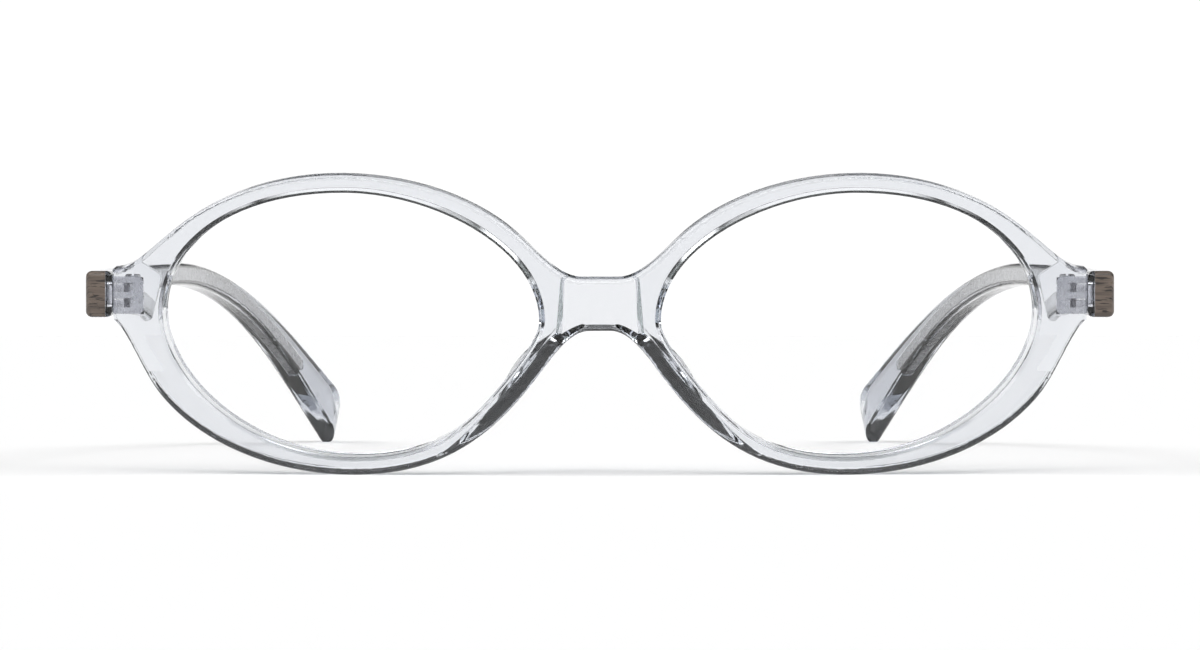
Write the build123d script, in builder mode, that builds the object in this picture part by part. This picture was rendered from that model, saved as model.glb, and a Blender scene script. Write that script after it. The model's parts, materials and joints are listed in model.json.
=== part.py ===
from build123d import *
import math
import os

os.makedirs("parts", exist_ok=True)

# Oval eyeglasses standing open on a table, in millimetres.
# The front faces -Y, the temples run back along +Y and the table is z = 0.
# Left and right are the wearer's, so the wearer's left is +X.

# Stance: the front leans forward at its top and curves back round the face
panto_angle = 8.5
wrap_radius = 280.0

# Front outline, seen square to the front, with heights from the lens line
front_thickness = 3.8
front_softening = 0.7
rim_centre = 33.1
rim_half_width = 28.45
rim_rise = 19.6
rim_drop = 19.85
rim_top_start = 45.0
rim_top_sweep = 100.0
rim_bottom_sweep = 60.0
bridge_top = 6.28
bridge_bottom = -0.52
bridge_flat = 2.4
bridge_shoulder = 2.4
bridge_shoulder_run = 4.0
bridge_arch_flat = 1.3
bridge_arch_run = 2.1
bridge_relief_width = 9.1
bridge_relief_depth = 0.8
bridge_relief_slope = 0.5
flank_top_x = 7.0
flank_top_drop = 5.05
flank_angle = 54.4
flank_run = 11.0
flank_turn = 3.0
flank_bow = 13.1
nose_bevel = 17.0
nose_bevel_start = 0.9
endpiece_reach = 64.0
endpiece_top = 6.5
endpiece_bottom = -0.1
endpiece_top_run = 2.9
endpiece_top_lead = 6.5
endpiece_bottom_run = 2.0
endpiece_bottom_fall = 1.3
endpiece_bottom_lead = 4.0

# Thick seat behind each endpiece, which carries the hinge, with heights above the table
seat_low = 20.3
seat_low_x = 58.9
seat_high_x = 57.4
seat_high = 26.4
seat_crown_x = 60.3
seat_crown = 28.3
seat_depth = 2.3
seat_softening = 0.8

# Lens openings
lens_centre = 32.75
opening_half_width = 24.95
opening_rise = 16.5
opening_drop = 18.35
opening_waist = 0.8
opening_lip = 0.35
top_nose_shares = (0.46, 0.58)
top_temple_shares = (0.62, 0.52)
bottom_temple_shares = (0.56, 0.46)
bottom_nose_shares = ((0.68, 1.0), (0.68, 0.5), (1.0, 0.24))

# Lenses
lens_radius = 144.0
lens_thickness = 1.8
lens_setback = 0.7
lens_bevel = 0.75
groove_depth = 0.6
groove_clearance = 0.04

# Nose pads
pad_inset = 0.5
pad_width = 2.0
pad_height = 4.2
pad_length = 14.2
pad_spot_run = 2.6
pad_softening = 0.5

# Hinges of five knuckles, three on the front and two on the temple
hinge_axis_x = 61.25
hinge_axis_back = 12.3
hinge_height = 23.7
knuckle_radius = 1.4
front_knuckle = 0.82
temple_knuckle = 1.12
knuckle_gap = 0.05
knuckle_neck = 0.6
pin_radius = 0.6
pin_clearance = 0.05
leaf_gap = 0.25
leaf_fit = 0.03
front_leaf_inner = 59.9
front_leaf_inset = 0.05
front_leaf_thickness = 1.0
front_leaf_corner = 0.7
window_inner = 61.3
window_outer = 63.45
temple_leaf_thickness = 0.9
temple_leaf_lead = 2.2
temple_leaf_tail = 6.4
temple_leaf_height = 3.4
temple_leaf_corner = 0.6
anchor_length = 1.6
anchor_height = 1.8
anchor_reach = 1.1
screw_head_radius = 1.05
screw_head_height = 0.5
screw_slot_width = 0.3
screw_slot_depth = 0.25

# Temples seen from above: straight past the hinge, splayed in, then curved in to the tip
temple_gap = 0.1
temple_thickness = 3.55
temple_front = 7.0
head_run = 8.0
head_bend_radius = 40.0
temple_splay = 5.0
shaft_run = 51.7
tip_bend_radius = 250.0
tip_bend = 20.0
temple_softening = 0.8

# Temples seen from the side, as distances back and heights above the table
head_top = 26.7
head_bottom = 20.6
head_corner = 1.0
waist_back = 62.0
waist_height = 3.2
temple_crown = 28.65
tip_back = 140.0
tip_top_back = 133.5
tip_top = 11.5
tip_fall_top = 29.0
tip_fall_bottom = 36.5
tip_top_run = 22.0
tip_bottom_run = 25.6
tip_heel_run = 7.4
tip_shoulder_radius = 7.0
tip_toe_radius = 1.1
top_lead_shares = ((0.27, 0.2), (0.6, 1.0))
bottom_lead_shares = ((0.24, 0.06), (0.45, 1.0))
top_drop_share = 0.475
bottom_drop_share = 0.5

# Wood-look skin on the outside of each temple, and the wire inside it
skin_thickness = 0.5
skin_return = 2.65
skin_fit = 0.02
core_width = 1.1
core_height = 1.9
core_end_back = 125.0
core_softening = 0.7
core_clearance = 0.05
core_start_gap = 0.05

# Overrun of every cut
cut = 20.0


def polar(point, angle, run):
    return (
        point[0] + run * math.cos(math.radians(angle)),
        point[1] + run * math.sin(math.radians(angle)),
    )


def between(start, end, shares):
    return tuple(a + (b - a) * share for a, b, share in zip(start, end, shares))


def sag(radius, reach):
    return radius - math.sqrt(radius ** 2 - reach ** 2)


# The lens line stands so high that the softened lower edge of the rims rests on the table
tilt = math.radians(panto_angle)
lens_line_height = (
    (rim_drop - front_softening) * math.cos(tilt)
    - (sag(wrap_radius, rim_centre) + front_softening) * math.sin(tilt)
    + front_softening
)

# Distances back are counted from the bridge's face, and the origin lies midway to the tips
front_lean = rim_rise * math.sin(math.radians(rim_top_start + rim_top_sweep)) * math.sin(tilt)
face_back = -(tip_back - front_lean) / 2

across = Vector(1, 0, 0)
front_plane = Plane(
    origin=(0, face_back, lens_line_height),
    x_dir=across,
    z_dir=(0, -math.cos(tilt), -math.sin(tilt)),
)
plan_plane = Plane(origin=front_plane.origin, x_dir=across, z_dir=front_plane.y_dir)
inward = plan_plane.y_dir
table_plane = Plane(origin=(0, face_back, 0), x_dir=across, z_dir=(0, 0, 1))
left_side = Plane(origin=table_plane.origin, x_dir=(0, 1, 0), z_dir=across)

# The outline of the whole front: rims, bridge and endpieces
with BuildSketch() as front_outline:
    with BuildLine():
        crown = Line((0, bridge_top), (bridge_flat, bridge_top))
        rim_top = EllipticalCenterArc(
            (rim_centre, 0), rim_half_width, rim_rise, start_angle=rim_top_start, arc_size=rim_top_sweep
        )
        Bezier(
            crown @ 1,
            (bridge_flat + bridge_shoulder, bridge_top),
            rim_top @ 1 + (rim_top % 1) * bridge_shoulder_run,
            rim_top @ 1,
        )
        Bezier(
            rim_top @ 0,
            rim_top @ 0 - (rim_top % 0) * endpiece_top_lead,
            (endpiece_reach - endpiece_top_run, endpiece_top),
            (endpiece_reach, endpiece_top),
        )
        Line((endpiece_reach, endpiece_top), (endpiece_reach, endpiece_bottom))
        rim_foot = EllipticalCenterArc(
            (rim_centre, 0), rim_half_width, rim_drop, start_angle=-90, arc_size=rim_bottom_sweep
        )
        Bezier(
            (endpiece_reach, endpiece_bottom),
            (endpiece_reach - endpiece_bottom_run, endpiece_bottom - endpiece_bottom_fall),
            rim_foot @ 1 + (rim_foot % 1) * endpiece_bottom_lead,
            rim_foot @ 1,
        )
        flank_top = (flank_top_x, -flank_top_drop)
        Bezier(
            rim_foot @ 0,
            (rim_centre - flank_bow, -rim_drop),
            polar(flank_top, -flank_angle, flank_run),
            flank_top,
        )
        Bezier(
            flank_top,
            polar(flank_top, 180 - flank_angle, flank_turn),
            (bridge_arch_flat + bridge_arch_run, bridge_bottom),
            (bridge_arch_flat, bridge_bottom),
        )
        Line((bridge_arch_flat, bridge_bottom), (0, bridge_bottom))
        Line((0, bridge_bottom), crown @ 0)
    make_face()
    mirror(about=Plane.YZ)


# One lens opening, about its own centre, with the temple side at +x
def opening_outline(grow):
    width = opening_half_width + grow
    rise = opening_rise + grow
    drop = opening_drop + grow
    waist = opening_waist
    for side, shares in ((1, top_temple_shares), (-1, top_nose_shares)):
        Bezier(
            (side * width, waist),
            (side * width, waist + shares[1] * rise),
            (side * width * shares[0], waist + rise),
            (0, waist + rise),
        )
    Bezier(
        (width, waist),
        (width, waist - bottom_temple_shares[1] * drop),
        (width * bottom_temple_shares[0], waist - drop),
        (0, waist - drop),
    )
    Bezier(
        (0, waist - drop),
        *[(-x * width, waist - y * drop) for x, y in bottom_nose_shares],
        (-width, waist),
    )


# The lens lies square to the front's curve at the lens centre
lens_turn = math.asin(lens_centre / wrap_radius)
lens_normal = across * math.sin(lens_turn) - inward * math.cos(lens_turn)
lens_depth = sag(wrap_radius, lens_centre) + lens_setback
lens_plane = Plane(
    origin=front_plane.origin + across * lens_centre + inward * lens_depth,
    x_dir=across * math.cos(lens_turn) + inward * math.sin(lens_turn),
    z_dir=lens_normal,
)
lens_ball_centre = lens_plane.origin - lens_normal * lens_radius


def bevelled_disc(play):
    # the lens when play is zero, and the room for it otherwise
    with BuildPart() as disc:
        with BuildSketch(lens_plane):
            with BuildLine():
                opening_outline(groove_depth - groove_clearance + play)
            make_face()
        extrude(amount=cut, both=True)
        with Locations(lens_ball_centre):
            Sphere(lens_radius + lens_thickness / 2 + play, mode=Mode.INTERSECT)
            Sphere(lens_radius - lens_thickness / 2 - play, mode=Mode.SUBTRACT)
        chamfer(disc.faces().filter_by(GeomType.SPHERE).edges(), lens_bevel)
    return disc.part


with BuildPart() as lens_left:
    add(bevelled_disc(0))

# Where the hinges sit
seat_back = hinge_axis_back - knuckle_radius - leaf_gap
seat_plane = Plane(origin=(0, face_back + seat_back, 0), x_dir=across, z_dir=(0, -1, 0))
knuckle_plane = Plane(origin=(hinge_axis_x, face_back + hinge_axis_back, 0), x_dir=across, z_dir=(0, 0, 1))
stack_height = 3 * front_knuckle + 2 * temple_knuckle + 4 * knuckle_gap
knuckle_pitch = front_knuckle + temple_knuckle + 2 * knuckle_gap
front_levels = [hinge_height + level * knuckle_pitch for level in (-1, 0, 1)]
temple_levels = [hinge_height + level * knuckle_pitch / 2 for level in (-1, 1)]
leaf_outer = endpiece_reach - front_leaf_inset
temple_inner = endpiece_reach + temple_gap
temple_outer = temple_inner + temple_thickness

# The flat hinge seats fill the bend behind each endpiece
with BuildPart() as hinge_seats:
    with BuildSketch(seat_plane) as seat_face:
        with BuildLine():
            Polyline(
                (endpiece_reach, seat_low),
                (seat_low_x, seat_low),
                (seat_high_x, seat_high),
                (seat_crown_x, seat_crown),
                (endpiece_reach, seat_crown),
                close=True,
            )
        make_face()
        fillet(seat_face.vertices().group_by(Axis.X)[:-1], seat_softening)
        mirror(about=Plane.YZ)
    extrude(amount=seat_depth)
    with BuildSketch(front_plane):
        add(front_outline.sketch)
    extrude(amount=cut, both=True, mode=Mode.INTERSECT)


def front_leaf_plate(play):
    with BuildPart() as plate:
        with BuildSketch(seat_plane):
            with Locations(((front_leaf_inner + leaf_outer) / 2, hinge_height)):
                Rectangle(leaf_outer - front_leaf_inner + 2 * play, stack_height + 2 * play)
        extrude(amount=front_leaf_thickness + play)
        inner_corners = plate.edges().filter_by(Axis.Y).group_by(Axis.X)[0]
        fillet(inner_corners, front_leaf_corner)
    return plate.part


# Everything cut from the wearer's left half of the front behind its face
with BuildPart() as left_cuts:
    add(front_leaf_plate(leaf_fit))
    with BuildSketch(seat_plane):
        with Locations(((seat_high_x + endpiece_reach + cut) / 2, hinge_height)):
            Rectangle(endpiece_reach + cut - seat_high_x, cut)
    extrude(amount=-cut)
    add(bevelled_disc(groove_clearance))

with BuildPart() as left_window:
    with BuildSketch(lens_plane):
        with BuildLine():
            opening_outline(0)
        make_face()
    extrude(amount=cut, both=True)

# The nose opening rises towards the face, under the bridge and along the straight of both flanks
bevel_way = inward + front_plane.y_dir * math.tan(math.radians(nose_bevel))
with BuildSketch() as nose_opening:
    with BuildLine():
        nose_arch = Bezier(
            flank_top,
            polar(flank_top, 180 - flank_angle, flank_turn),
            (bridge_arch_flat + bridge_arch_run, bridge_bottom),
            (bridge_arch_flat, bridge_bottom),
        )
        flank_foot = polar(flank_top, -flank_angle, cut)
        Polyline(nose_arch @ 1, (0, bridge_bottom), (0, flank_foot[1]), flank_foot, flank_top)
    make_face()
    mirror(about=Plane.YZ)

with BuildPart() as nose_room:
    with BuildSketch(front_plane.offset(-nose_bevel_start)):
        add(nose_opening.sketch)
    extrude(amount=cut, dir=bevel_way, both=True)

# The front: a slab bent round the face, cut to the outline, softened and opened for the lenses
with BuildPart() as frame_front:
    with BuildSketch(front_plane):
        add(front_outline.sketch)
    extrude(amount=cut, both=True)
    with BuildSketch(plan_plane):
        with BuildLine():
            reach = endpiece_reach + front_thickness
            outer_sag = sag(wrap_radius, reach)
            inner_sag = front_thickness + sag(wrap_radius - front_thickness, reach)
            ThreePointArc((-reach, outer_sag), (0, 0), (reach, outer_sag))
            ThreePointArc((-reach, inner_sag), (0, front_thickness), (reach, inner_sag))
            for end in (-reach, reach):
                Line((end, outer_sag), (end, inner_sag))
        make_face()
    extrude(amount=2 * cut, both=True, mode=Mode.INTERSECT)
    bent_faces = frame_front.faces().filter_by(GeomType.CYLINDER).sort_by(SortBy.AREA)[-2:]
    fillet(bent_faces.edges(), front_softening)
    add(nose_room.part, mode=Mode.SUBTRACT)

    for window in (left_window.part, left_window.part.mirror(Plane.YZ)):
        add(window, mode=Mode.SUBTRACT)
    front_face = frame_front.faces().filter_by(GeomType.CYLINDER).sort_by(Axis.Y)[0]
    chamfer([edge for wire in front_face.inner_wires() for edge in wire.edges()], opening_lip)

    add(hinge_seats.part)
    for room in (left_cuts.part, left_cuts.part.mirror(Plane.YZ)):
        add(room, mode=Mode.SUBTRACT)

    # the shallow saddle behind the bridge
    with BuildSketch(plan_plane):
        with BuildLine():
            saddle = bridge_relief_width / 2
            floor = front_thickness - bridge_relief_depth
            mouth = saddle + bridge_relief_slope * cut / bridge_relief_depth
            Polyline(
                (-saddle, floor),
                (saddle, floor),
                (mouth, floor + cut),
                (-mouth, floor + cut),
                close=True,
            )
        make_face()
    extrude(amount=cut, both=True, mode=Mode.SUBTRACT)

# Nose pads: a strip behind each flank of the nose, crowned towards the face
into_rim = polar((0, 0), 90 - flank_angle, 1)
pad_spot = polar(flank_top, -flank_angle, pad_spot_run)
pad_place = Location((pad_spot[0], pad_spot[1], 0), (0, 0, -flank_angle))
with BuildSketch() as flank_strip:
    add(front_outline.sketch)
    pad_reach = pad_inset + pad_width
    with Locations((into_rim[0] * pad_reach, into_rim[1] * pad_reach)):
        add(front_outline.sketch, mode=Mode.SUBTRACT)
    with Locations(pad_place):
        with Locations((0, pad_inset)):
            Rectangle(
                pad_length,
                rim_drop,
                align=(Align.CENTER, Align.MIN),
                mode=Mode.INTERSECT,
            )

pad_crown_radius = (pad_height ** 2 + (pad_length / 2) ** 2) / (2 * pad_height)
pad_crown_depth = front_thickness + pad_height - pad_crown_radius
pad_middle = front_plane.origin + across * pad_spot[0] + front_plane.y_dir * pad_spot[1]
pad_crown_plane = Plane(
    origin=pad_middle + inward * pad_crown_depth,
    x_dir=-inward,
    z_dir=across * into_rim[0] + front_plane.y_dir * into_rim[1],
)
with BuildPart() as nose_pad_left:
    with BuildSketch(front_plane.offset(-nose_bevel_start)):
        add(flank_strip.sketch)
    extrude(amount=cut, dir=bevel_way)
    with BuildSketch(pad_crown_plane):
        Circle(pad_crown_radius)
    extrude(amount=rim_centre, both=True, mode=Mode.INTERSECT)
    with BuildSketch(plan_plane):
        with BuildLine():
            ThreePointArc((-reach, inner_sag), (0, front_thickness), (reach, inner_sag))
            Polyline((-reach, inner_sag), (-reach, -cut), (reach, -cut), (reach, inner_sag))
        make_face()
    extrude(amount=2 * cut, both=True, mode=Mode.SUBTRACT)
    crown_face = nose_pad_left.faces().filter_by(GeomType.CYLINDER).sort_by(Axis.Y)[-1]
    fillet(crown_face.edges().sort_by(SortBy.LENGTH)[-2:], pad_softening)

# Front hinge leaves: a windowed plate let into the seat, with three knuckles behind it
with BuildPart() as front_hinge_left:
    add(front_leaf_plate(0))
    with BuildSketch(seat_plane):
        for level in temple_levels:
            with Locations(((window_inner + window_outer) / 2, level)):
                Rectangle(window_outer - window_inner, temple_knuckle + 2 * knuckle_gap)
    extrude(amount=front_leaf_thickness, mode=Mode.SUBTRACT)
    for level in front_levels:
        with BuildSketch(knuckle_plane.offset(level - front_knuckle / 2)):
            Circle(knuckle_radius)
            with Locations(((knuckle_neck - knuckle_radius) / 2, -(knuckle_radius + leaf_gap) / 2)):
                Rectangle(knuckle_radius + knuckle_neck, knuckle_radius + leaf_gap)
            Circle(pin_radius + pin_clearance, mode=Mode.SUBTRACT)
        extrude(amount=front_knuckle)

# Hinge screws, dropped in from above
stack_low = hinge_height - stack_height / 2
stack_top = stack_low + stack_height
with BuildPart() as hinge_screw_left:
    with BuildSketch(knuckle_plane.offset(stack_low)):
        Circle(pin_radius)
    extrude(amount=stack_height)
    with BuildSketch(knuckle_plane.offset(stack_top)):
        Circle(screw_head_radius)
    extrude(amount=screw_head_height)
    chamfer(hinge_screw_left.edges().group_by(Axis.Z)[-1], screw_slot_depth / 2)
    with BuildSketch(knuckle_plane.offset(stack_top + screw_head_height)):
        Rectangle(screw_slot_width, 3 * screw_head_radius)
    extrude(amount=-screw_slot_depth, mode=Mode.SUBTRACT)

# Temple hinge leaves: a plate let into the temple's inner face, two knuckles and an anchor
temple_leaf_plane = left_side.offset(temple_inner)
leaf_front = hinge_axis_back - temple_leaf_lead
leaf_back = hinge_axis_back + temple_leaf_tail


def temple_leaf_plate(play):
    with BuildPart() as plate:
        with BuildSketch(temple_leaf_plane):
            with Locations(((leaf_front + leaf_back) / 2, hinge_height)):
                RectangleRounded(
                    leaf_back - leaf_front + 2 * play, temple_leaf_height + 2 * play, temple_leaf_corner
                )
        extrude(amount=temple_leaf_thickness + play)
        with BuildSketch(temple_leaf_plane.offset(temple_leaf_thickness)):
            with Locations((leaf_back - anchor_length / 2, hinge_height)):
                Rectangle(anchor_length + 2 * play, anchor_height + 2 * play)
        extrude(amount=anchor_reach + play)
    return plate.part


with BuildPart() as temple_hinge_left:
    add(temple_leaf_plate(0))
    neck_reach = temple_inner - hinge_axis_x
    for level in temple_levels:
        with BuildSketch(knuckle_plane.offset(level - temple_knuckle / 2)):
            Circle(knuckle_radius)
            with Locations((neck_reach / 2, (knuckle_radius - knuckle_neck) / 2)):
                Rectangle(neck_reach, knuckle_radius + knuckle_neck)
            Circle(pin_radius + pin_clearance, mode=Mode.SUBTRACT)
        extrude(amount=temple_knuckle)


# The temple seen from above, between two depths in from its outer face
def temple_run(depth):
    head = Line((temple_outer - depth, temple_front), (temple_outer - depth, temple_front + head_run))
    bend = JernArc(head @ 1, (0, 1), head_bend_radius - depth, temple_splay)
    shaft = Line(bend @ 1, bend @ 1 + (bend % 1) * shaft_run)
    tip = JernArc(shaft @ 1, shaft % 1, tip_bend_radius - depth, tip_bend)
    return head @ 0, tip @ 1


def temple_strip(outer_depth, inner_depth):
    outer_start, outer_end = temple_run(outer_depth)
    inner_start, inner_end = temple_run(inner_depth)
    Line(outer_start, inner_start)
    Line(outer_end, inner_end)


# The temple's upper and lower edges seen from the side, to the waist and on to the tip
waist_low = temple_crown - waist_height
front_top = (temple_front, head_top)
front_low = (temple_front, head_bottom)
crown = (waist_back, temple_crown)
hollow = (waist_back, waist_low)
tip_upper = (tip_top_back, tip_top)
shoulder_run = (tip_back - tip_top_back) / math.cos(math.radians(tip_fall_top))
tip_shoulder = polar(tip_upper, -tip_fall_top, shoulder_run)
tip_toe = (tip_back, tip_toe_radius * (1 - 1 / math.tan(math.radians(45 - tip_fall_bottom / 2))))
tip_lower = polar(tip_toe, 180 - tip_fall_bottom, tip_heel_run)
top_lead = [front_top, *[between(front_top, crown, share) for share in top_lead_shares], crown]
low_lead = [front_low, *[between(front_low, hollow, share) for share in bottom_lead_shares], hollow]
top_drop = [
    crown,
    between(crown, tip_upper, (top_drop_share, 0)),
    polar(tip_upper, 180 - tip_fall_top, tip_top_run),
    tip_upper,
]
low_drop = [
    hollow,
    between(hollow, tip_lower, (bottom_drop_share, 0)),
    polar(tip_lower, 180 - tip_fall_bottom, tip_bottom_run),
    tip_lower,
]
with BuildPart() as temple_whole:
    with BuildSketch(left_side) as side_profile:
        with BuildLine():
            for points in (top_lead, top_drop, low_lead, low_drop):
                Bezier(*points)
            Line(front_top, front_low)
            Polyline(tip_upper, tip_shoulder, tip_toe, tip_lower)
        make_face()
        fillet(side_profile.vertices().sort_by(Axis.X)[-2:].sort_by(Axis.Y)[-1], tip_shoulder_radius)
        fillet(side_profile.vertices().sort_by(Axis.X)[-2:].sort_by(Axis.Y)[0], tip_toe_radius)
    extrude(amount=temple_outer + cut)
    with BuildSketch(table_plane):
        with BuildLine():
            temple_strip(0, temple_thickness)
        make_face()
    extrude(amount=2 * cut, mode=Mode.INTERSECT)
    outer_front_edge = temple_whole.edges().filter_by(Axis.Z).sort_by(Axis.Y)[:2].sort_by(Axis.X)[-1]
    fillet(outer_front_edge, head_corner)
    lengthwise = temple_whole.edges().filter_by(
        lambda edge: edge.bounding_box().size.Y > edge.bounding_box().size.X
    )
    fillet(lengthwise, temple_softening)


def skin_band(play):
    with BuildPart() as band:
        with BuildSketch(table_plane):
            with BuildLine():
                temple_strip(-skin_thickness, skin_thickness + play)
            make_face()
            with Locations((temple_outer, temple_front)):
                Rectangle(
                    skin_return + play, skin_thickness + play, align=(Align.MAX, Align.MIN)
                )
        extrude(amount=2 * cut)
    return band.part


# A flat wire runs inside each temple from the hinge anchor nearly to the tip
middle_lead = [between(low, high, (0.5, 0.5)) for low, high in zip(low_lead, top_lead)]
middle_drop = [between(low, high, (0.5, 0.5)) for low, high in zip(low_drop, top_drop)]


def core_wire(play):
    with BuildPart() as wire:
        with BuildSketch(left_side) as wire_side:
            with BuildLine():
                for shift in (-core_height / 2 - play, core_height / 2 + play):
                    for points in (middle_lead, middle_drop):
                        Bezier(*[(back, height + shift) for back, height in points])
                for back, height in (middle_lead[0], middle_drop[-1]):
                    Line(
                        (back, height - core_height / 2 - play),
                        (back, height + core_height / 2 + play),
                    )
            make_face()
            with Locations((leaf_back + core_start_gap - play, 0)):
                Rectangle(
                    core_end_back - leaf_back + 2 * play,
                    4 * cut,
                    align=(Align.MIN, Align.CENTER),
                    mode=Mode.INTERSECT,
                )
            fillet(wire_side.vertices().sort_by(Axis.X)[-2:], core_softening)
        extrude(amount=temple_outer)
        with BuildSketch(table_plane):
            with BuildLine():
                middle = temple_thickness / 2
                temple_strip(middle - core_width / 2 - play, middle + core_width / 2 + play)
            make_face()
        extrude(amount=2 * cut, mode=Mode.INTERSECT)
    return wire.part


with BuildPart() as temple_core_left:
    add(core_wire(0))

with BuildPart() as temple_skin_left:
    add(temple_whole.part)
    add(skin_band(0), mode=Mode.INTERSECT)

with BuildPart() as temple_left:
    add(temple_whole.part)
    add(skin_band(skin_fit), mode=Mode.SUBTRACT)
    add(temple_leaf_plate(leaf_fit), mode=Mode.SUBTRACT)
    add(core_wire(core_clearance), mode=Mode.SUBTRACT)

# The wearer's right-hand pieces mirror the left-hand ones
left_pieces = {
    "lens": lens_left,
    "nose_pad": nose_pad_left,
    "front_hinge": front_hinge_left,
    "hinge_screw": hinge_screw_left,
    "temple_hinge": temple_hinge_left,
    "temple_core": temple_core_left,
    "temple_skin": temple_skin_left,
    "temple": temple_left,
}
frame_front.part.label = "frame_front"
export_step(frame_front.part, "parts/frame_front.step")
for name, piece in left_pieces.items():
    piece.part.label = f"{name}_left"
    export_step(piece.part, f"parts/{name}_left.step")
    with BuildPart() as opposite:
        mirror(piece.part, about=Plane.YZ)
    opposite.part.label = f"{name}_right"
    export_step(opposite.part, f"parts/{name}_right.step")
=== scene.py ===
import bpy
import bmesh
import json
import math
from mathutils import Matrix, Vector


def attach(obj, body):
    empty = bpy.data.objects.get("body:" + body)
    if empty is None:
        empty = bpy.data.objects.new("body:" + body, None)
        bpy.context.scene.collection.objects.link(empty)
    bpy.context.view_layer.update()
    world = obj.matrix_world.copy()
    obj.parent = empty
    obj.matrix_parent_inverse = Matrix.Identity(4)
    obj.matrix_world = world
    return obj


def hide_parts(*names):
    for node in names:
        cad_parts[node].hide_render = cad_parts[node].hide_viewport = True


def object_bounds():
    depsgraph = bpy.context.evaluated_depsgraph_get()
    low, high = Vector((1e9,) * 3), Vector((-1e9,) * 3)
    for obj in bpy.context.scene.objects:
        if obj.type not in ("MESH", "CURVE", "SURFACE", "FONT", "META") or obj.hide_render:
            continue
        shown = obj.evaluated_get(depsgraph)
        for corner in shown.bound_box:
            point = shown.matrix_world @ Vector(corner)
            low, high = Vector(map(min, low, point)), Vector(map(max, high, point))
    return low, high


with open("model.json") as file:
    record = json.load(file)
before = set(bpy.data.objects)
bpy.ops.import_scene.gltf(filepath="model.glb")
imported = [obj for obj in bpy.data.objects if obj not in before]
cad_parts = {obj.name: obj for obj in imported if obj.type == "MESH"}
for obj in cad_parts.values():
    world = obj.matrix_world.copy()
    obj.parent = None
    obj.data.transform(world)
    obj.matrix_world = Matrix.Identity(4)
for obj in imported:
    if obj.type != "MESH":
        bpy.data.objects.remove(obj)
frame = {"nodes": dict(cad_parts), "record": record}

# Oval eyeglasses of clear acetate, standing open on a pale table
# The bodies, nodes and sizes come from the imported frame, in metres

nodes = frame["nodes"]
sides = ("left", "right")
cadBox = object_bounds()
slotOf = {part["node"]: part["material_slot"] for part in frame["record"]["subparts"]}


# Small helpers for shader trees

def newMaterial(name):
    mat = bpy.data.materials.new(name)
    mat.use_nodes = True
    tree = mat.node_tree
    return mat, tree, tree.nodes["Principled BSDF"], tree.nodes["Material Output"]


def addNode(tree, kind, settings=None, values=None):
    made = tree.nodes.new(kind)
    for key, value in (settings or {}).items():
        setattr(made, key, value)
    for key, value in (values or {}).items():
        made.inputs[key].default_value = value
    return made


def newGroup(name, inputs, outputs):
    group = bpy.data.node_groups.new(name, "ShaderNodeTree")
    for label, kind, value in inputs:
        socket = group.interface.new_socket(label, in_out="INPUT", socket_type=kind)
        socket.default_value = value
    for label, kind in outputs:
        group.interface.new_socket(label, in_out="OUTPUT", socket_type=kind)
    return group, group.nodes.new("NodeGroupInput"), group.nodes.new("NodeGroupOutput")


def useGroup(tree, group, values):
    made = tree.nodes.new("ShaderNodeGroup")
    made.node_tree = group
    for key, value in values.items():
        made.inputs[key].default_value = value
    return made


# Effects that several finishes share
effects = {
    "hazeDetail": 4.0,
    "hazeRoughness": 0.6,
    "hazeFrom": 0.35,
    "hazeTo": 0.68,
    "streakDetail": 3.0,
    "streakRoughness": 0.55,
    "middleGrey": 0.5,
}


def makeHaze():
    # the faint smears and polish marks that any handled surface has, as a value from Low to High
    group, given, out = newGroup(
        "handledHaze",
        [
            ("Scale", "NodeSocketFloat", 90.0),
            ("Low", "NodeSocketFloat", 0.02),
            ("High", "NodeSocketFloat", 0.08),
        ],
        [("Amount", "NodeSocketFloat")],
    )
    link = group.links.new
    place = addNode(group, "ShaderNodeTexCoord")
    noise = addNode(group, "ShaderNodeTexNoise", values={
        "Detail": effects["hazeDetail"], "Roughness": effects["hazeRoughness"]})
    spread = addNode(group, "ShaderNodeMapRange", {"interpolation_type": "SMOOTHSTEP"}, {
        "From Min": effects["hazeFrom"], "From Max": effects["hazeTo"]})
    link(place.outputs["Object"], noise.inputs["Vector"])
    link(given.outputs["Scale"], noise.inputs["Scale"])
    link(noise.outputs["Fac"], spread.inputs["Value"])
    link(given.outputs["Low"], spread.inputs["To Min"])
    link(given.outputs["High"], spread.inputs["To Max"])
    link(spread.outputs["Result"], out.inputs["Amount"])
    return group


def makeStreaks():
    # long fine marks: Stretch squeezes the pattern along each axis, in marks per metre
    group, given, out = newGroup(
        "drawnStreaks",
        [("Stretch", "NodeSocketVector", (1000.0, 1000.0, 1000.0)), ("Contrast", "NodeSocketFloat", 0.5)],
        [("Mark", "NodeSocketFloat")],
    )
    link = group.links.new
    place = addNode(group, "ShaderNodeTexCoord")
    squeeze = addNode(group, "ShaderNodeVectorMath", {"operation": "MULTIPLY"})
    noise = addNode(group, "ShaderNodeTexNoise", values={
        "Scale": 1.0, "Detail": effects["streakDetail"], "Roughness": effects["streakRoughness"]})
    soft = addNode(group, "ShaderNodeMath", {"operation": "SUBTRACT"}, {1: effects["middleGrey"]})
    gain = addNode(group, "ShaderNodeMath", {"operation": "MULTIPLY_ADD"}, {2: effects["middleGrey"]})
    link(place.outputs["Object"], squeeze.inputs[0])
    link(given.outputs["Stretch"], squeeze.inputs[1])
    link(squeeze.outputs[0], noise.inputs["Vector"])
    link(noise.outputs["Fac"], soft.inputs[0])
    link(soft.outputs[0], gain.inputs[0])
    link(given.outputs["Contrast"], gain.inputs[1])
    link(gain.outputs[0], out.inputs["Mark"])
    return group


handledHaze = makeHaze()
drawnStreaks = makeStreaks()
print("shared effects made")


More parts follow.
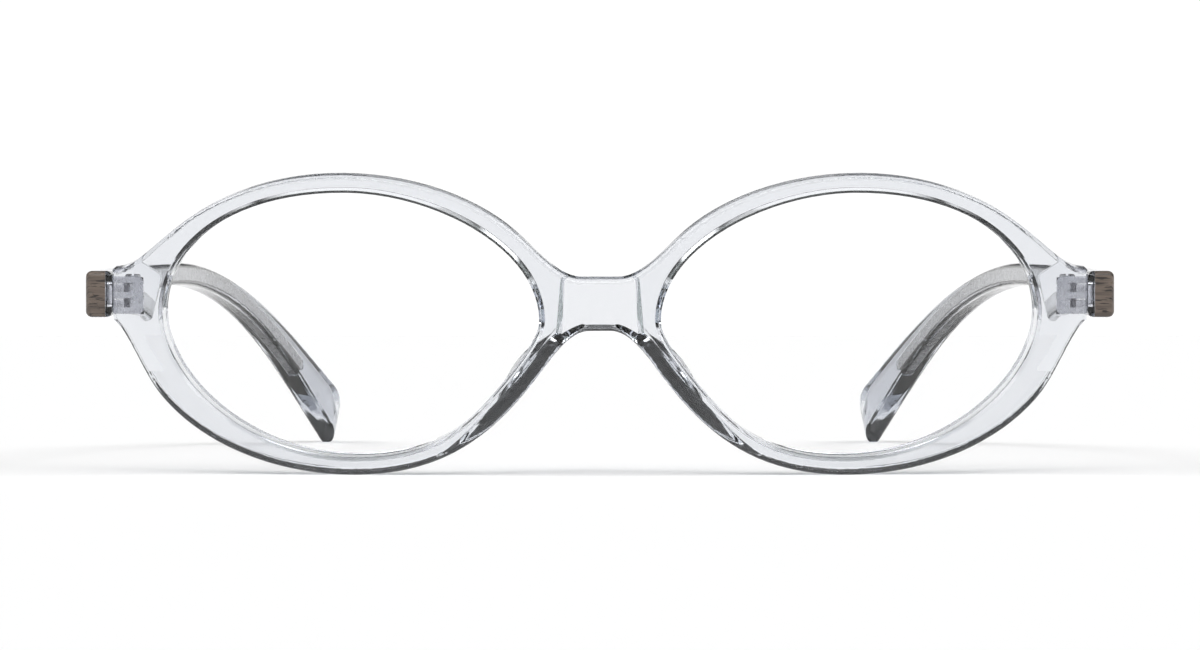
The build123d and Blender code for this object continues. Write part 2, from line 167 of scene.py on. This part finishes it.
# Clear acetate of the front, the pads and the temple bodies
acetate = {
    "tint": (0.985, 0.988, 0.991, 1.0),
    "ior": 1.49,
    "hazeScale": 110.0,
    "roughLow": 0.006,
    "roughHigh": 0.03,
    "absorbColour": (0.635, 0.664, 0.722, 1.0),
    "absorbDensity": 158.0,
    "shadowTint": (0.74, 0.75, 0.77, 1.0),
}


def makeAcetate():
    mat, tree, shader, out = newMaterial("clearAcetate")
    link = tree.links.new
    shader.inputs["Base Color"].default_value = acetate["tint"]
    shader.inputs["Transmission Weight"].default_value = 1.0
    shader.inputs["IOR"].default_value = acetate["ior"]
    haze = useGroup(tree, handledHaze, {
        "Scale": acetate["hazeScale"], "Low": acetate["roughLow"], "High": acetate["roughHigh"]})
    link(haze.outputs["Amount"], shader.inputs["Roughness"])
    clear = addNode(tree, "ShaderNodeBsdfTransparent", values={"Color": acetate["shadowTint"]})
    path = addNode(tree, "ShaderNodeLightPath")
    mix = addNode(tree, "ShaderNodeMixShader")
    link(path.outputs["Is Shadow Ray"], mix.inputs[0])
    link(shader.outputs[0], mix.inputs[1])
    link(clear.outputs[0], mix.inputs[2])
    link(mix.outputs[0], out.inputs["Surface"])
    absorb = addNode(tree, "ShaderNodeVolumeAbsorption", values={
        "Color": acetate["absorbColour"], "Density": acetate["absorbDensity"]})
    link(absorb.outputs[0], out.inputs["Volume"])
    return mat


# Coated plastic lenses: clear, with a weak reflection
lens = {
    "coat": (0.90, 0.95, 0.93, 1.0),
    "edgeIor": 1.13,
    "hazeScale": 60.0,
    "roughLow": 0.01,
    "roughHigh": 0.05,
}


def makeLens():
    mat, tree, shader, out = newMaterial("lensClear")
    link = tree.links.new
    shader.inputs["Base Color"].default_value = lens["coat"]
    haze = useGroup(tree, handledHaze, {
        "Scale": lens["hazeScale"], "Low": lens["roughLow"], "High": lens["roughHigh"]})
    link(haze.outputs["Amount"], shader.inputs["Roughness"])
    clear = addNode(tree, "ShaderNodeBsdfTransparent")
    fresnel = addNode(tree, "ShaderNodeFresnel", values={"IOR": lens["edgeIor"]})
    mix = addNode(tree, "ShaderNodeMixShader")
    link(fresnel.outputs[0], mix.inputs[0])
    link(clear.outputs[0], mix.inputs[1])
    link(shader.outputs[0], mix.inputs[2])
    link(mix.outputs[0], out.inputs["Surface"])
    return mat


# Metals, each with its own tool marks
metals = {
    "hingeMetal": {
        "light": (0.93, 0.92, 0.95, 1), "dark": (0.66, 0.66, 0.70, 1),
        "stretch": (9000.0, 2500.0, 900.0), "contrast": 2.2, "rough": (0.16, 0.34), "bump": 0.12,
    },
    "screwMetal": {
        "light": (0.72, 0.72, 0.73, 1), "dark": (0.40, 0.40, 0.42, 1),
        "stretch": (4000.0, 4000.0, 7000.0), "contrast": 2.0, "rough": (0.2, 0.36), "bump": 0.1,
    },
    "coreMetal": {
        "light": (0.34, 0.34, 0.36, 1), "dark": (0.16, 0.16, 0.17, 1),
        "stretch": (3000.0, 120.0, 3000.0), "contrast": 2.0, "rough": (0.22, 0.4), "bump": 0.15,
    },
}


metalFinish = {
    "hazeScale": 1200.0,
    "markDepth": 0.00002,
}


def makeMetal(name):
    look = metals[name]
    mat, tree, shader, out = newMaterial(name)
    link = tree.links.new
    shader.inputs["Metallic"].default_value = 1.0
    marks = useGroup(tree, drawnStreaks, {"Stretch": look["stretch"], "Contrast": look["contrast"]})
    tone = addNode(tree, "ShaderNodeMix", {"data_type": "RGBA"})
    tone.inputs["A"].default_value = look["dark"]
    tone.inputs["B"].default_value = look["light"]
    link(marks.outputs["Mark"], tone.inputs["Factor"])
    link(tone.outputs["Result"], shader.inputs["Base Color"])
    haze = useGroup(tree, handledHaze, {
        "Scale": metalFinish["hazeScale"], "Low": look["rough"][0], "High": look["rough"][1]})
    link(haze.outputs["Amount"], shader.inputs["Roughness"])
    relief = addNode(tree, "ShaderNodeBump", values={
        "Strength": look["bump"], "Distance": metalFinish["markDepth"]})
    link(marks.outputs["Mark"], relief.inputs["Height"])
    link(relief.outputs["Normal"], shader.inputs["Normal"])
    return mat


# Wood-look laminate: brown, with grain that follows the temple and dark pores
wood = {
    "light": (0.134, 0.103, 0.082, 1),
    "mid": (0.076, 0.058, 0.047, 1),
    "dark": (0.020, 0.015, 0.013, 1),
    "tan": (0.40, 0.30, 0.21, 1),
    "backing": (0.88, 0.88, 0.89, 1),
    "grainStretch": (160.0, 70.0, 1900.0),
    "grainDetail": 4.0,
    "grainRoughness": 0.6,
    "bandFrom": 0.34,
    "bandTo": 0.66,
    "poreStretch": (420.0, 190.0, 3600.0),
    "poreDetail": 2.0,
    "poreFrom": 0.56,
    "poreTo": 0.62,
    "tanFrom": 0.70,
    "tanTo": 0.78,
    "hazeScale": 160.0,
    "rough": (0.24, 0.42),
    "bump": 0.35,
    "poreDepth": 0.00004,
}


def squeezedNoise(tree, place, stretch, detail):
    squeeze = addNode(tree, "ShaderNodeVectorMath", {"operation": "MULTIPLY"}, {1: stretch})
    noise = addNode(tree, "ShaderNodeTexNoise", values={
        "Scale": 1.0, "Detail": detail, "Roughness": wood["grainRoughness"]})
    tree.links.new(place, squeeze.inputs[0])
    tree.links.new(squeeze.outputs[0], noise.inputs["Vector"])
    return noise.outputs["Fac"]


def blendColour(tree, factor, first, second):
    mix = addNode(tree, "ShaderNodeMix", {"data_type": "RGBA"})
    tree.links.new(factor, mix.inputs["Factor"])
    for socket, value in (("A", first), ("B", second)):
        if isinstance(value, tuple):
            mix.inputs[socket].default_value = value
        else:
            tree.links.new(value, mix.inputs[socket])
    return mix.outputs["Result"]


def ramp(tree, value, low, high):
    spread = addNode(tree, "ShaderNodeMapRange", {"interpolation_type": "SMOOTHSTEP"},
                     {"From Min": low, "From Max": high})
    tree.links.new(value, spread.inputs["Value"])
    return spread.outputs["Result"]


def makeWood():
    mat, tree, shader, out = newMaterial("woodLook")
    link = tree.links.new
    grain = addNode(tree, "ShaderNodeAttribute", {"attribute_name": "grain"})
    bands = squeezedNoise(tree, grain.outputs["Vector"], wood["grainStretch"], wood["grainDetail"])
    pores = squeezedNoise(tree, grain.outputs["Vector"], wood["poreStretch"], wood["poreDetail"])
    poreMask = ramp(tree, pores, wood["poreFrom"], wood["poreTo"])
    body = blendColour(tree, ramp(tree, bands, wood["bandFrom"], wood["bandTo"]), wood["mid"], wood["light"])
    streaked = blendColour(tree, ramp(tree, bands, wood["tanFrom"], wood["tanTo"]), body, wood["tan"])
    pored = blendColour(tree, poreMask, streaked, wood["dark"])
    backed = addNode(tree, "ShaderNodeAttribute", {"attribute_name": "backed"})
    coloured = blendColour(tree, backed.outputs["Fac"], pored, wood["backing"])
    link(coloured, shader.inputs["Base Color"])
    haze = useGroup(tree, handledHaze, {
        "Scale": wood["hazeScale"], "Low": wood["rough"][0], "High": wood["rough"][1]})
    link(haze.outputs["Amount"], shader.inputs["Roughness"])
    relief = addNode(tree, "ShaderNodeBump", {"invert": True}, {
        "Strength": wood["bump"], "Distance": wood["poreDepth"]})
    link(poreMask, relief.inputs["Height"])
    link(relief.outputs["Normal"], shader.inputs["Normal"])
    return mat


finishes = {
    "clear_acetate": makeAcetate(),
    "clear_lens": makeLens(),
    "hinge_metal": makeMetal("hingeMetal"),
    "screw_metal": makeMetal("screwMetal"),
    "core_metal": makeMetal("coreMetal"),
    "wood_look_acetate": makeWood(),
}
print("finishes made")


# Polished copies: the same shapes with merged corners and smooth, crisp-edged shading
polish = {
    "mergeDistance": 1e-6,
    "crispAngle": 30.0,
}

# The front is a slab bent round an axis that leans back with it
front = {
    "lean": math.radians(8.5),
    "bend": 0.280,
    "thickness": 0.0038,
    "setBack": 0.001777,
    "level": 0.019246,
    "onFace": 4e-6,
}
upFront = Vector((0, -math.sin(front["lean"]), math.cos(front["lean"])))
intoFront = Vector((0, math.cos(front["lean"]), math.sin(front["lean"])))
frontMiddle = Vector((0, cadBox[0][1] + front["setBack"], front["level"]))
bendAxis = frontMiddle + intoFront * front["bend"]


def bentNormal(point):
    # the true normal where a point lies on the bent face or the bent back
    out = point - bendAxis
    out -= upFront * out.dot(upFront)
    reach = out.length
    if abs(reach - front["bend"]) < front["onFace"]:
        return out.normalized()
    if abs(reach - front["bend"] + front["thickness"]) < front["onFace"]:
        return -out.normalized()
    return None


def evenNormals(mesh, bent):
    # a corner takes the mean of the faces that it turns smoothly into, the larger ones counting for more
    crisp = math.cos(math.radians(polish["crispAngle"]))
    ways = [face.normal.copy() for face in mesh.polygons]
    areas = [face.area for face in mesh.polygons]
    around = [[] for corner in mesh.vertices]
    for face in mesh.polygons:
        for corner in face.vertices:
            around[corner].append(face.index)
    truths = [bentNormal(corner.co) if bent else None for corner in mesh.vertices]
    given = []
    onBend = 0
    for face in mesh.polygons:
        own = ways[face.index]
        for corner in face.vertices:
            truth = truths[corner]
            if truth is not None and truth.dot(own) > crisp:
                given.append(truth)
                onBend += 1
                continue
            total = Vector()
            for other in around[corner]:
                if ways[other].dot(own) > crisp:
                    total += ways[other] * areas[other]
            given.append(total.normalized())
    mesh.normals_split_custom_set(given)
    return onBend


# The nose side is bevelled wide towards the back, and the bevel runs out along the lower rims
nose = {
    "start": 0.0009,
    "wallFrom": 0.0006,
    "wallTo": 0.0012,
    "foot": 0.0125,
    "footWallTo": 0.0030,
    "spacing": 0.0003,
    "slopeStep": 0.0008,
    "bridgeSlope": 0.40,
    "flankSlope": 0.60,
    "flankFrom": 0.0030,
    "flankFull": 0.0065,
    "fadeFrom": 0.0130,
    "end": 0.0240,
}


def smoothShare(value, low, high):
    share = min(1.0, max(0.0, (value - low) / (high - low)))
    return share * share * (3 - 2 * share)


def lineHeight(line, x):
    after = next((k for k in range(1, len(line)) if line[k][0] >= x), len(line) - 1)
    (x0, u0), (x1, u1) = line[after - 1:after + 1]
    return u0 + (u1 - u0) * (x - x0) / (x1 - x0)


def noseLine(places):
    # the nose's outline as distance from the middle and height, read on the wall where no bevel cuts it
    line = []
    for x, up, depth, index in sorted(places):
        wallTo = nose["wallTo"] if x < nose["foot"] else nose["footWallTo"]
        if up > 0 or not nose["wallFrom"] < depth < wallTo:
            continue
        if not line or (x > line[-1][0] + nose["spacing"] and up < line[-1][1] + polish["mergeDistance"]):
            line.append((x, up))
    return line


def bevelSlope(x):
    # gentler under the bridge, full along the flanks, and none at the end
    grown = smoothShare(x, nose["flankFrom"], nose["flankFull"])
    slope = nose["bridgeSlope"] + (nose["flankSlope"] - nose["bridgeSlope"]) * grown
    return slope * (1 - smoothShare(x, nose["fadeFrom"], nose["end"]))


def widenBevel(mesh):
    # a corner on the nose's side of the bevel is pushed onto it, and keeps its depth in the bent slab
    places = []
    for corner in mesh.vertices:
        off = corner.co - bendAxis
        depth = front["bend"] - math.hypot(off.x, off.dot(intoFront))
        places.append((abs(off.x), off.dot(upFront), depth, corner.index))
    line = noseLine(places)
    run = nose["slopeStep"]
    moved = 0
    for x, up, depth, index in places:
        past = depth - nose["start"]
        if past <= 0 or x >= nose["end"] or up > 0:
            continue
        drop = (lineHeight(line, x + run) - lineHeight(line, x - run)) / (2 * run)
        size = math.hypot(1, drop)
        push = bevelSlope(x) * past - (up - lineHeight(line, x)) / size
        if push <= 0:
            continue
        corner = mesh.vertices[index]
        wide = x - push * drop / size
        high = up + push / size
        back = math.sqrt((front["bend"] - depth) ** 2 - wide ** 2)
        sideways = Vector((math.copysign(wide, corner.co.x), 0, 0))
        corner.co = bendAxis + sideways + upFront * high - intoFront * back
        moved += 1
    print("bevel widened at", moved, "corners, outline of", len(line), "points")


# The pads fade out along the flank, and the glue leaves no gap under them
pad = {
    "flank": math.radians(54.4),
    "spot": (0.00851, -0.00716),
    "halfLength": 0.0071,
    "height": 0.0042,
    "slope": math.tan(math.radians(17.0)),
    "inset": 0.0005,
    "slices": 28,
    "fade": 1.5,
    "squeeze": 0.40,
    "narrow": 0.35,
    "width": 0.002,
    "step": 0.0007,
    "tuck": 0.00004,
    "baseReach": 0.00002,
}


def shapePad(mesh):
    outward = 1 if mesh.vertices[0].co.x > 0 else -1
    acrossFront = Vector((outward, 0, 0))
    along = acrossFront * math.cos(pad["flank"]) - upFront * math.sin(pad["flank"])
    intoRim = acrossFront * math.sin(pad["flank"]) + upFront * math.cos(pad["flank"])
    spot = frontMiddle + acrossFront * pad["spot"][0] + upFront * pad["spot"][1]
    slant = intoFront + upFront * pad["slope"]
    work = bmesh.new()
    work.from_mesh(mesh)
    for step in range(1, pad["slices"]):
        place = (2 * step / pad["slices"] - 1) * pad["halfLength"]
        held = work.verts[:] + work.edges[:] + work.faces[:]
        bmesh.ops.bisect_plane(work, geom=held, plane_co=spot + along * place, plane_no=along,
                               dist=polish["mergeDistance"])
    crownCentre = (pad["height"] ** 2 - pad["halfLength"] ** 2) / (2 * pad["height"])
    crownRadius = pad["height"] - crownCentre
    for corner in work.verts:
        off = corner.co - spot
        depth = off.dot(intoFront)
        share = min(1.0, abs(off.dot(along)) / pad["halfLength"])
        backFace = front["thickness"] + corner.co.x ** 2 / (2 * front["bend"])
        rise = depth - backFace
        room = (depth - nose["start"]) * pad["slope"] * intoRim.dot(upFront)
        width = off.dot(intoRim) - room - pad["inset"]
        # a step beside the front's edge, and the narrowing towards the nose
        foot = max(0.0, 1 - rise / pad["height"]) * (1 - width / pad["width"])
        thinning = pad["squeeze"] + pad["narrow"] * share ** 2
        corner.co += intoRim * (pad["step"] * foot - width * thinning)
        if rise < pad["baseReach"]:
            corner.co -= intoFront * pad["tuck"]
            continue
        full = crownCentre + math.sqrt(max(0.0, crownRadius ** 2 - (share * pad["halfLength"]) ** 2))
        soft = pad["height"] * (1 - share ** 2) ** pad["fade"]
        corner.co -= slant * rise * (1 - min(1.0, soft / max(full, pad["baseReach"])))
    work.to_mesh(mesh)
    work.free()


# The tips thin out to a rounded end on their outer side
tip = {
    "reach": 0.0055,
    "slices": 9,
    "thin": 0.30,
    "early": 0.5,
    "probe": 0.0015,
}


def tipLine(side):
    # the end's way back and down, its outward side, and how far out it lies at the end and further up
    names = (f"temple_{side}", f"temple_skin_{side}")
    points = [corner.co for name in names for corner in nodes[name].data.vertices]
    lastY = max(point.y for point in points)
    middles = []
    for low in (0, 2 * tip["reach"]):
        held = [point for point in points if low <= lastY - point.y <= low + tip["probe"]]
        spans = [[point[k] for point in held] for k in range(3)]
        middles.append(Vector([(min(span) + max(span)) / 2 for span in spans]))
    way = (middles[0] - middles[1]).normalized()
    outward = 1 if side == "left" else -1
    across = (Vector((outward, 0, 0)) - way * way.x * outward).normalized()
    end = max(point.dot(way) for point in points)
    edge = []
    for start in (0, tip["reach"]):
        held = [point for point in points if start <= end - point.dot(way) <= start + tip["probe"]]
        edge.append(max(point.dot(across) for point in held))
    return way, across, end, edge


def thinTip(mesh, side):
    # corners move straight sideways, so the tip's length and height stay
    way, across, end, edge = tipLine(side)
    work = bmesh.new()
    work.from_mesh(mesh)
    for step in range(tip["slices"]):
        held = work.verts[:] + work.edges[:] + work.faces[:]
        place = way * (end - tip["reach"] * (1 - (step / tip["slices"]) ** 2) - polish["mergeDistance"])
        bmesh.ops.bisect_plane(work, geom=held, plane_co=place, plane_no=way, dist=polish["mergeDistance"])
    for corner in work.verts:
        back = (end - corner.co.dot(way)) / tip["reach"]
        if back < 1:
            rim = edge[0] + (edge[1] - edge[0]) * back
            rounding = 1 - math.sqrt(1 - (1 - back) ** 2)
            keep = 1 - tip["thin"] * tip["early"] * (1 - back) - (1 - tip["thin"]) * rounding
            corner.co.x += across.x * (rim - corner.co.dot(across)) * (1 - max(tip["thin"], keep))
    work.to_mesh(mesh)
    work.free()


def polishedCopy(name):
    mesh = nodes[name].data.copy()
    mesh.name = name + "Polished"
    piece = bpy.data.objects.new(name + "_polished", mesh)
    bpy.context.scene.collection.objects.link(piece)
    work = bmesh.new()
    work.from_mesh(mesh)
    bmesh.ops.remove_doubles(work, verts=work.verts, dist=polish["mergeDistance"])
    work.to_mesh(mesh)
    work.free()
    if name == "frame_front":
        widenBevel(mesh)
    elif name.startswith("nose_pad"):
        shapePad(mesh)
    else:
        thinTip(mesh, name.split("_")[-1])
    mesh.shade_smooth()
    onBend = evenNormals(mesh, name == "frame_front")
    print(name, "polished,", len(mesh.polygons), "faces,", onBend, "corners on the bend")
    mesh.materials.clear()
    mesh.materials.append(finishes[slotOf[name]])
    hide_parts(name)
    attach(piece, bodyOf(name))
    return piece


def bodyOf(name):
    bodies = frame["record"]["behaviour"]["bodies"]
    return next(body for body, held in bodies.items() if name in held)


# The brown layer: its grain follows the strip, and its glued side is pale
skin = {
    "grainStep": 0.002,
    "headDepth": 0.020,
    "turnedIn": 0.5,
    "turnedBack": 0.7,
}


def addGrain(piece):
    # the grain's own coordinates: across, along, and the height above the strip's middle
    mesh = piece.data
    low, high = {}, {}
    for corner in mesh.vertices:
        step = round(corner.co.y / skin["grainStep"])
        low[step] = min(low.get(step, math.inf), corner.co.z)
        high[step] = max(high.get(step, -math.inf), corner.co.z)
    steps = sorted(low)

    def middle(y):
        place = y / skin["grainStep"]
        before = max((s for s in steps if s <= place), default=steps[0])
        after = min((s for s in steps if s > place), default=steps[-1])
        share = 0.0 if after == before else (place - before) / (after - before)
        return (1 - share) * (low[before] + high[before]) / 2 + share * (low[after] + high[after]) / 2

    grain = mesh.attributes.new("grain", "FLOAT_VECTOR", "POINT")
    for corner in mesh.vertices:
        grain.data[corner.index].vector = (corner.co.x, corner.co.y, corner.co.z - middle(corner.co.y))


def addBacking(piece):
    # the pale glued side of the layer, seen through the clear body
    mesh = piece.data
    outward = 1 if mesh.vertices[0].co.x > 0 else -1
    backed = mesh.attributes.new("backed", "FLOAT", "FACE")
    for face in mesh.polygons:
        turnedIn = -outward * face.normal.x > skin["turnedIn"]
        atHead = face.center.y < cadBox[0][1] + skin["headDepth"]
        turnedBack = face.normal.y > skin["turnedBack"] and atHead
        backed.data[face.index].value = 1.0 if turnedIn or turnedBack else 0.0


polishedCopy("frame_front")
for side in sides:
    polishedCopy(f"nose_pad_{side}")
    polishedCopy(f"temple_{side}")
    strip = polishedCopy(f"temple_skin_{side}")
    addGrain(strip)
    addBacking(strip)
print("polished copies made")

for name, piece in nodes.items():
    for place in piece.material_slots:
        place.material = finishes[slotOf[name]]
print("pieces dressed")


# Table, light and camera
stage = {
    "floorReach": 6.0,
    "floorColour": (0.93, 0.93, 0.93, 1.0),
    "floorRoughness": 0.9,
    "cameraBack": 0.470,
    "cameraHeight": 0.0196,
    "cameraTilt": math.radians(90),
    "focal": 108.96,
    "sensor": 36.0,
    "nearest": 0.01,
    "farthest": 50.0,
}
studio = {
    "white": 1.04,
    "horizon": 0.150,
    "flagLow": 0.215,
    "flag": 0.035,
    "box": 4.25,
    "boxFoot": 0.500,
    "boxLow": 0.580,
    "boxHigh": 0.780,
    "boxEnd": 0.840,
    "boxFront": -0.10,
    "boxBehind": 0.25,
    "ceiling": 1.10,
    "ceilingFoot": 0.82,
    "ceilingFull": 0.88,
    "ceilingFront": 0.02,
    "ceilingBehind": 0.14,
}


def makeFloor():
    mat, tree, shader, out = newMaterial("paleTable")
    shader.inputs["Base Color"].default_value = stage["floorColour"]
    shader.inputs["Roughness"].default_value = stage["floorRoughness"]
    shader.inputs["Specular IOR Level"].default_value = 0.0
    reach = stage["floorReach"]
    corners = [(x * reach, y * reach, 0) for x, y in ((-1, -1), (1, -1), (1, 1), (-1, 1))]
    mesh = bpy.data.meshes.new("table")
    mesh.from_pydata(corners, [], [(0, 1, 2, 3)])
    mesh.materials.append(mat)
    table = bpy.data.objects.new("table", mesh)
    bpy.context.scene.collection.objects.link(table)


def product(tree, first, second):
    made = addNode(tree, "ShaderNodeMath", {"operation": "MULTIPLY"})
    tree.links.new(first, made.inputs[0])
    tree.links.new(second, made.inputs[1])
    return made.outputs[0]


def addLight(tree, strength, share, rest):
    made = addNode(tree, "ShaderNodeMath", {"operation": "MULTIPLY_ADD"}, {1: strength})
    tree.links.new(share, made.inputs[0])
    tree.links.new(rest, made.inputs[2])
    return made.outputs[0]


def makeWorld():
    # white all round at table level, dark above it, soft boxes high up in front and a ceiling over them
    world = bpy.data.worlds.new("studio")
    bpy.context.scene.world = world
    world.use_nodes = True
    tree = world.node_tree
    link = tree.links.new
    back = tree.nodes["Background"]
    way = addNode(tree, "ShaderNodeTexCoord")
    split = addNode(tree, "ShaderNodeSeparateXYZ")
    link(way.outputs["Generated"], split.inputs[0])
    upward, behind = split.outputs["Z"], split.outputs["Y"]
    low = addNode(tree, "ShaderNodeMapRange", {"interpolation_type": "SMOOTHSTEP"}, {
        "From Min": studio["horizon"], "From Max": studio["flagLow"],
        "To Min": studio["white"], "To Max": studio["flag"]})
    link(upward, low.inputs["Value"])
    above = ramp(tree, upward, studio["ceilingFoot"], studio["ceilingFull"])
    overhead = ramp(tree, behind, studio["ceilingBehind"], studio["ceilingFront"])
    lit = addLight(tree, studio["ceiling"], product(tree, above, overhead), low.outputs["Result"])
    rise = ramp(tree, upward, studio["boxFoot"], studio["boxLow"])
    fall = ramp(tree, upward, studio["boxEnd"], studio["boxHigh"])
    ahead = ramp(tree, behind, studio["boxBehind"], studio["boxFront"])
    boxes = product(tree, product(tree, rise, fall), ahead)
    link(addLight(tree, studio["box"], boxes, lit), back.inputs["Strength"])
    back.inputs["Color"].default_value = (1, 1, 1, 1)
    seen = addNode(tree, "ShaderNodeBackground", values={"Color": (1, 1, 1, 1), "Strength": studio["white"]})
    path = addNode(tree, "ShaderNodeLightPath")
    mix = addNode(tree, "ShaderNodeMixShader")
    link(path.outputs["Is Camera Ray"], mix.inputs[0])
    link(back.outputs[0], mix.inputs[1])
    link(seen.outputs[0], mix.inputs[2])
    link(mix.outputs[0], tree.nodes["World Output"].inputs["Surface"])


def makeCamera():
    cam = bpy.data.cameras.new("camera")
    cam.lens = stage["focal"]
    cam.sensor_width = stage["sensor"]
    cam.clip_start = stage["nearest"]
    cam.clip_end = stage["farthest"]
    camera = bpy.data.objects.new("camera", cam)
    bridgeFace = cadBox[0][1] + front["setBack"]
    camera.location = (0, bridgeFace - stage["cameraBack"], stage["cameraHeight"])
    camera.rotation_euler = (stage["cameraTilt"], 0, 0)
    bpy.context.scene.collection.objects.link(camera)
    bpy.context.scene.camera = camera


makeFloor()
makeWorld()
makeCamera()
bpy.context.scene.view_settings.view_transform = "Standard"
print("stage set")
